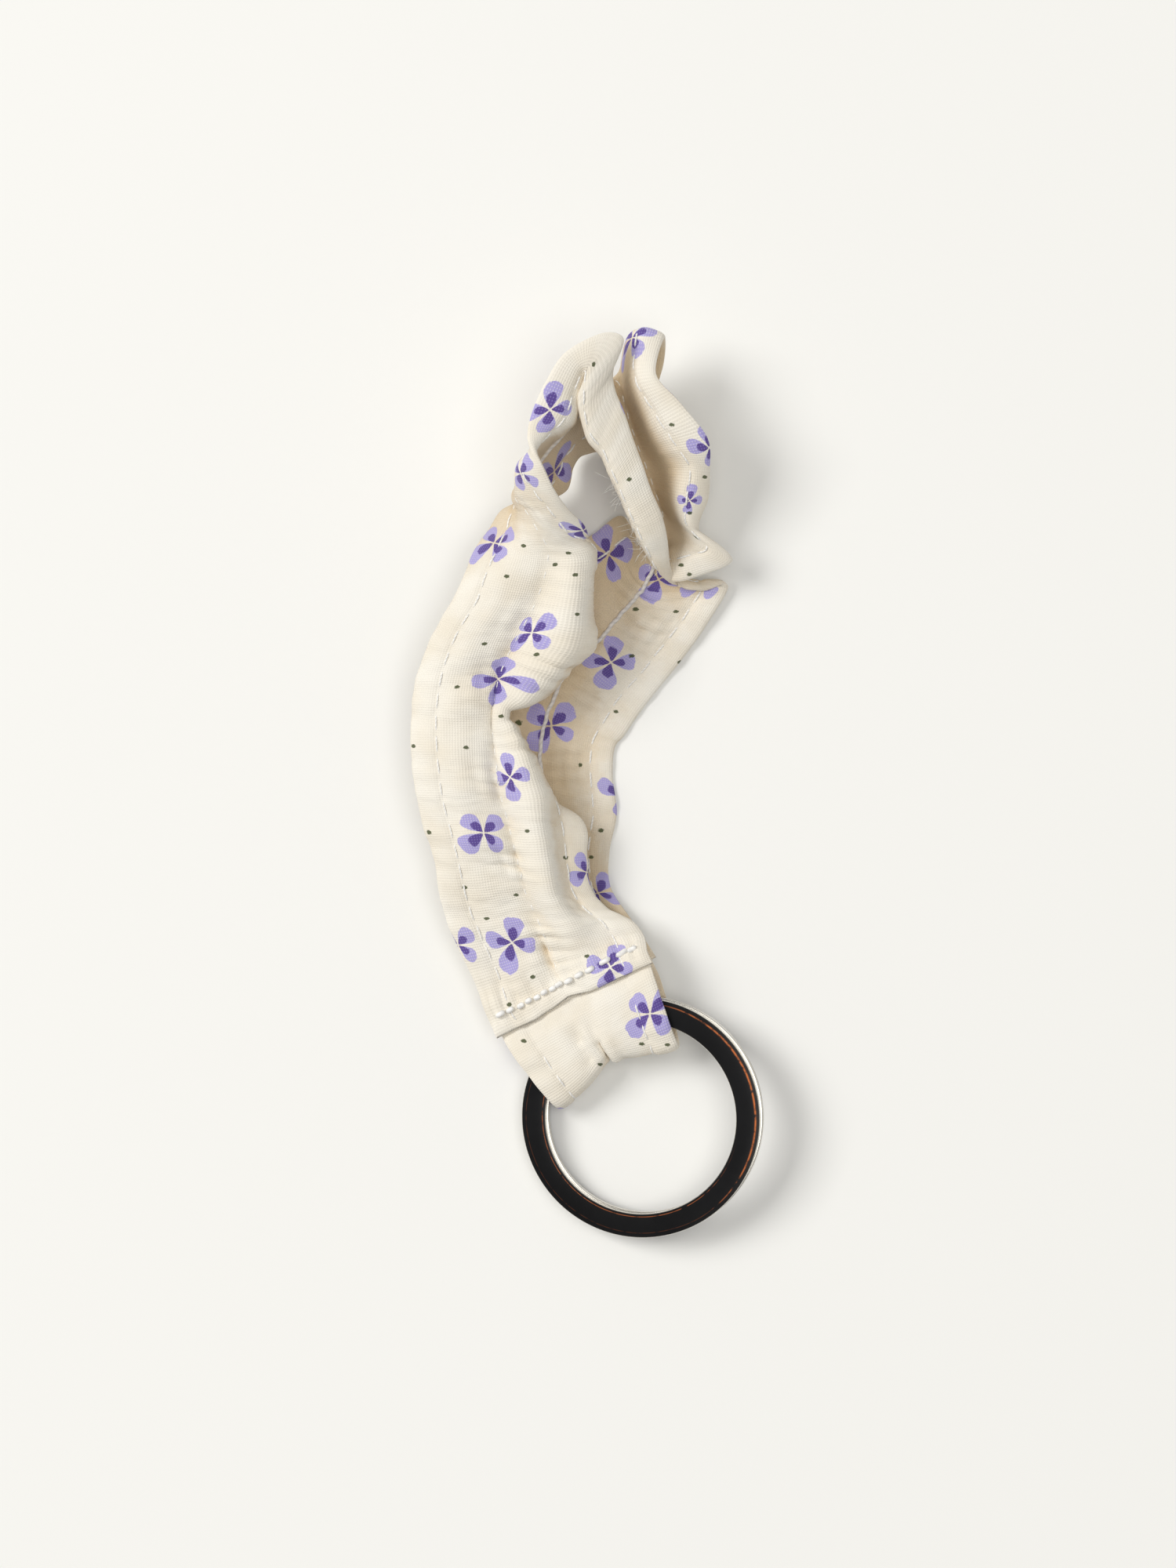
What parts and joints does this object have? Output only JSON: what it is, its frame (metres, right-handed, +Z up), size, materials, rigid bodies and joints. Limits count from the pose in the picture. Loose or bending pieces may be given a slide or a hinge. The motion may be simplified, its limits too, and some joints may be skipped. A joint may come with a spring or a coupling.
{
  "type": "wristlet keychain",
  "caption": "Gathered fabric wristlet loop with a half twist, lying folded, its tab sewn round a flat split key ring.",
  "frame": {"origin": "centre of the object's footprint on the surface it lies on", "axes": "+Y from the key ring to the top of the loop, +X across it, +Z up from the table"},
  "size_m": [0.0438, 0.1118, 0.0185],
  "materials": {
    "printed_cotton": "cream plain-weave cotton with a small violet flower print",
    "elastic_thread": "thin wrapped elastic, off-white",
    "sewing_thread": "fine off-white sewing thread",
    "closing_thread": "doubled white thread",
    "ring_steel": "polished dark nickel with a thin worn copper line near its edges"
  },
  "bodies": {
    "wrist_loop": {"outer_ply": "printed_cotton", "inner_ply": "printed_cotton", "gathering_elastic": "elastic_thread", "left_topstitch": "sewing_thread", "right_topstitch": "sewing_thread", "centre_stitching": "sewing_thread", "closing_hem": "printed_cotton", "closing_stitches": "closing_thread"},
    "ring_tab": {"tab_outer_ply": "printed_cotton", "tab_inner_ply": "printed_cotton", "tab_left_topstitch": "sewing_thread", "tab_right_topstitch": "sewing_thread"},
    "key_ring": {"split_ring": "ring_steel"}
  },
  "joints": [
    {"name": "tab_flex", "type": "hinge", "parent": "wrist_loop", "child": "ring_tab", "pos_m": [-0.00118, -0.02602, 0.0038], "axis": [0.8616, 0.4776, 0.1716], "range_deg": [-65, 65]},
    {"name": "ring_turn", "type": "hinge", "parent": "ring_tab", "child": "key_ring", "pos_m": [0.00694, -0.04083, 0.00425], "axis": [-0.1632, -0.0594, 0.9848], "continuous": true}
  ]
}
